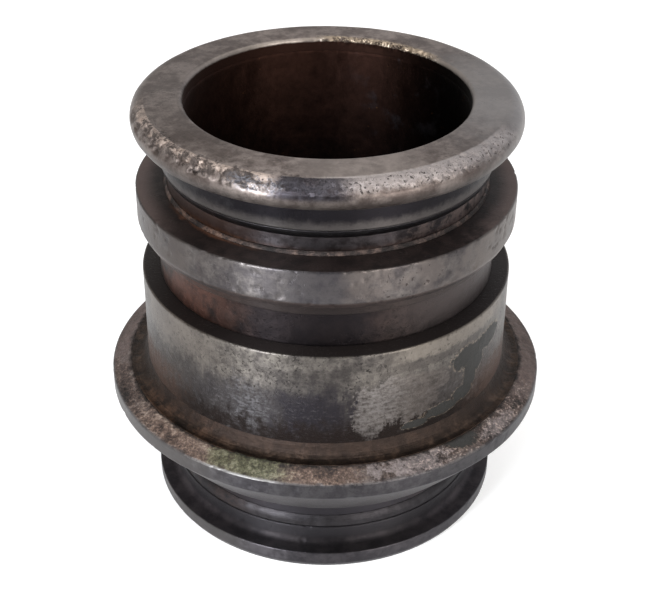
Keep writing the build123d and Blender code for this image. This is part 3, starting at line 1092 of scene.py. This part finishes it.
def bead_finish(name, row, metallic, seed, lumpy=0.3, rusty=0.6, wall=0):
    """Weld metal in a row of colours from its hollows to its tops, darker beside a wall."""
    finish = Finish(name)
    ends = (tint(*row[0][1:]), tint(*row[-1][1:]))
    _, roughness, relief = old_steel(finish, *ends, cloud=5, seed=seed, marks=0.0)
    lumps = finish.noise(2.2, detail=8, rough=0.74, seed=seed + 2)
    lumps = lumps + (finish.noise(7, detail=4, seed=seed + 4) - 0.5) * 0.6
    left = finish.arc(-64, -28, 8, (lumps - 0.5) * 40)
    orange = left * finish.step(lumps, 0.42, 0.6) * rusty
    colour = finish.blend(finish.ramp(lumps, row), tint(104, 74, 56), orange)
    if wall:
        beside = finish.step(finish.radius, wall + 3.2, wall + 0.4)
        colour = finish.blend(colour, tint(44, 35, 31), beside * 0.75)
    return finish.wear(
        relief + lumps * lumpy + finish.turning(1.1, seed=seed + 6) * lumpy * 0.8,
        base_color=colour,
        metallic=metallic,
        roughness=roughness + (1 - metallic) * 0.25,
    )


grey_row = [(0.3, 42, 40, 42), (0.7, 58, 56, 58)]
clean_bead = bead_finish("clean_weld_metal", grey_row, 1.0, 81, lumpy=0.06, rusty=0.1)
brown_row = [(0.3, 28, 22, 19), (0.5, 52, 42, 36), (0.7, 88, 71, 60)]
brown_bead = bead_finish("rusty_weld_metal", brown_row, 0.85, 84, rusty=0.3, wall=barrel_rim)
chalky_row = [(0.36, 24, 19, 18), (0.5, 44, 36, 34), (0.68, 98, 82, 75)]
chalky_bead = bead_finish("chalky_weld_metal", chalky_row, 0.6, 88, rusty=0.35)
bead_metal = {"barrel_weld": brown_bead, "land_weld": chalky_bead}
for node, piece in bead_pieces.items():
    strength = 1.0 if node == "root_weld" else DRESSED
    dent(piece, lambda at: ripples(at) * strength)
    piece.data.materials.append(bead_metal.get(node, clean_bead))
print("beads:", ", ".join(bead_pieces))

# %% [markdown]
# ## Bodies
# Nothing on this coupling moves, so every piece rides on the one body, `root`. Each piece also
# hides the frame's node that it stands for.

# %% Tie the pieces to the frame
stand_ins = {
    "bore_pipe": (pipe_piece, "pipe_steel"),
    "lip_ring": (lip, "lip_steel"),
    "land_ring": (land, "barrel_steel"),
    "land_collar": (collar, "groove_steel"),
    "groove_spacer": (spacer, "groove_steel"),
    "barrel_sleeve": (barrel, "barrel_steel"),
    "flange_ring": (flange, "flange_steel"),
    "bottom_flange": (plate, "bottom_steel"),
}
for node, piece in bead_pieces.items():
    stand_ins[node] = (piece, "weld_metal")
for node, (piece, slot) in stand_ins.items():
    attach(piece, "root")
    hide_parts(node)
print(len(stand_ins), "pieces ride on root")

# %% [markdown]
# ## Floor, light and camera
# Old steel shows what is round it, so the light matters as much as the finish. A white floor and
# a bright room give the soft grey. The floor glows a little, so the coupling's shadow on it
# stays faint. A tall narrow strip of light on the left, like a window,
# gives every wall the same upright highlight, and a wide dim one on the right answers it. The
# room is dim in a narrow band towards the camera, which keeps the front dark,
# and a little cooler and brighter behind on the right, where a window would be.

# %% Lay the floor
floor_shape = bmesh.new()
bmesh.ops.create_grid(floor_shape, x_segments=1, y_segments=1, size=6)
floor_mesh = bpy.data.meshes.new("floor")
floor_shape.to_mesh(floor_mesh)
floor_shape.free()
floor = bpy.data.objects.new("floor", floor_mesh)
bpy.context.scene.collection.objects.link(floor)
paper = Finish("white_paper")
fibres = paper.noise(0.6, detail=2, seed=91)
floor.data.materials.append(
    paper.wear(
        fibres * 0.02,
        base_color=(0.62, 0.62, 0.62, 1),
        roughness=0.9,
        emission_color=(1, 1, 1, 1),
        emission_strength=0.55,
    )
)

# %% Light the room
world = bpy.data.worlds.new("studio")
bpy.context.scene.world = world
world.use_nodes = True
room = Graph(world.node_tree)
toward = room.add("ShaderNodeTexCoord", output="Generated")
east, north, up = (room.add("ShaderNodeSeparateXYZ", sockets={0: toward}, output=axis) for axis in "XYZ")
level_length = (east * east + north * north) ** 0.5 + 0.001
facing = (north * -0.996 + east * -0.087) / level_length
front = room.step(facing, 0.90, 0.97) * room.step(up, 0.95, 0.7)
back_right = room.step(east * 0.7 + north * 0.5, 0.2, 0.9)
left = room.step(east, -0.2, -0.9)
wall = room.blend((0.60, 0.58, 0.56, 1), (0.76, 0.78, 0.82, 1), back_right)
wall = room.blend(wall, (0.54, 0.52, 0.50, 1), left)
wall = room.blend(wall, (0.09, 0.095, 0.11, 1), front)
backdrop = world.node_tree.nodes["Background"]
room.feed(backdrop.inputs["Color"], wall)
backdrop.inputs["Strength"].default_value = 1.0


def softbox(name, place, width, tall, power, aim=0.06, colour=(1, 1, 1)):
    """A rectangular lamp that faces the coupling's axis at the height aim, in metres."""
    lamp = bpy.data.lights.new(name, "AREA")
    lamp.shape = "RECTANGLE"
    lamp.size = width
    lamp.size_y = tall
    lamp.energy = power
    lamp.color = colour
    holder = bpy.data.objects.new(name, lamp)
    bpy.context.scene.collection.objects.link(holder)
    holder.location = place
    facing = Vector((0, 0, aim)) - Vector(place)
    holder.rotation_euler = facing.to_track_quat("-Z", "Y").to_euler()


softbox("key_strip", (-0.59, -0.81, 0.58), 0.13, 1.1, 18, aim=0.4, colour=(0.92, 0.96, 1.0))
softbox("right_strip", (0.60, -0.80, 0.45), 0.45, 0.8, 7, aim=0.3, colour=(1.0, 0.98, 0.95))
softbox("overhead_softbox", (0.0, 0.15, 1.3), 1.2, 1.2, 4)

# %% Set up the camera
camera = bpy.data.cameras.new("camera")
camera.sensor_width = 36
camera.lens = 76.4
stand = bpy.data.objects.new("camera", camera)
bpy.context.scene.collection.objects.link(stand)
stand.location = (0.0004, -0.346, 0.2767)
stand.rotation_euler = (math.radians(90 - 32.36), 0, 0)
stand.rotation_euler.rotate_axis("Z", math.radians(0.52))
bpy.context.scene.camera = stand
bpy.context.scene.view_settings.view_transform = "Standard"
